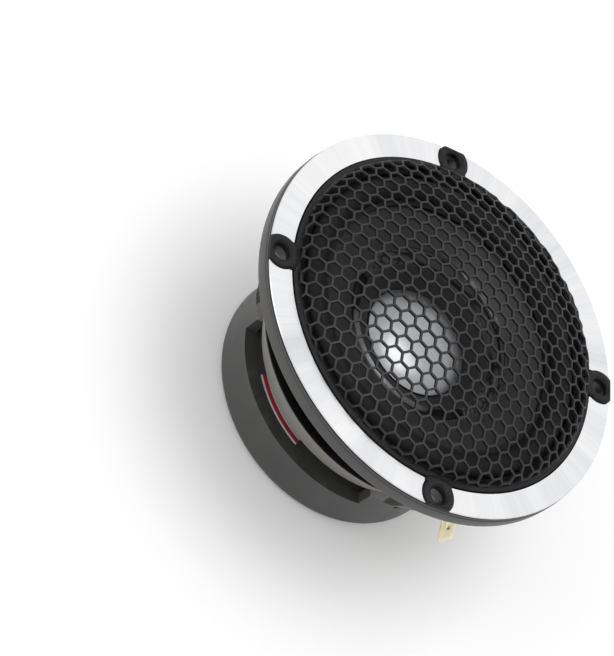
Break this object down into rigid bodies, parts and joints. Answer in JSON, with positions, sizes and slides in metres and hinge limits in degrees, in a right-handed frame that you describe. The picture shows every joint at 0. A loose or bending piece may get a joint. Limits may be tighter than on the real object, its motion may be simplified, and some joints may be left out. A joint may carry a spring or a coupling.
{
  "type": "car door loudspeaker driver",
  "caption": "Round flange-mounted car audio driver with a domed hexagonal mesh grille, screw lugs, bright trim ring, cast spoked basket, cone, dust cap and rear motor cup.",
  "frame": {"origin": "centre of the motor's flat rear face", "axes": "+Z along the driver's axis towards the listener, +X towards the terminals"},
  "size_m": [0.104, 0.104, 0.0604],
  "materials": {
    "cast_grey": "die casting, satin dark grey coating",
    "bright_ring": "bright machined face",
    "lug_black": "fine satin texture",
    "mesh_black": "satin black coating",
    "gasket_black": "closed-cell foam",
    "cone_black": "glossy moulded film",
    "cap_silver": "satin spun",
    "surround_black": "matt",
    "former_brown": "wound film",
    "coil_copper": "enamelled copper wire",
    "spider_cloth": "black resin-treated cloth",
    "plated_steel": "zinc plated",
    "magnet_grey": "ground ferrite",
    "black_steel": "black coated",
    "screw_steel": "zinc plated",
    "label_film": "printed film",
    "board_brown": "phenolic laminate",
    "rivet_steel": "tinned",
    "blade_brass": "pressed and tinned",
    "lead_copper": "braided"
  },
  "bodies": {
    "frame": {"basket": "cast_grey", "trim_ring": "bright_ring", "grille_ring": "lug_black", "grille_mesh": "mesh_black", "front_gasket": "gasket_black", "surround": "surround_black", "spider": "spider_cloth", "back_plate": "plated_steel", "magnet": "magnet_grey", "top_plate": "black_steel", "motor_screw_1": "screw_steel", "motor_screw_2": "screw_steel", "motor_screw_3": "screw_steel", "motor_label": "label_film", "terminal_board": "board_brown", "board_rivet": "rivet_steel", "terminal_positive": "blade_brass", "terminal_rivet_positive": "rivet_steel", "tinsel_lead_positive": "lead_copper", "terminal_negative": "blade_brass", "terminal_rivet_negative": "rivet_steel", "tinsel_lead_negative": "lead_copper"},
    "diaphragm": {"cone": "cone_black", "dust_cap": "cap_silver", "coil_former": "former_brown", "voice_coil": "coil_copper"}
  },
  "joints": [
    {"name": "cone_excursion", "type": "slide", "parent": "frame", "child": "diaphragm", "axis": [0, 0, 1], "range_m": [-0.0025, 0.0025], "stiffness_N_per_m": 1500, "deforming": ["surround", "spider", "tinsel_lead_positive", "tinsel_lead_negative"]}
  ]
}
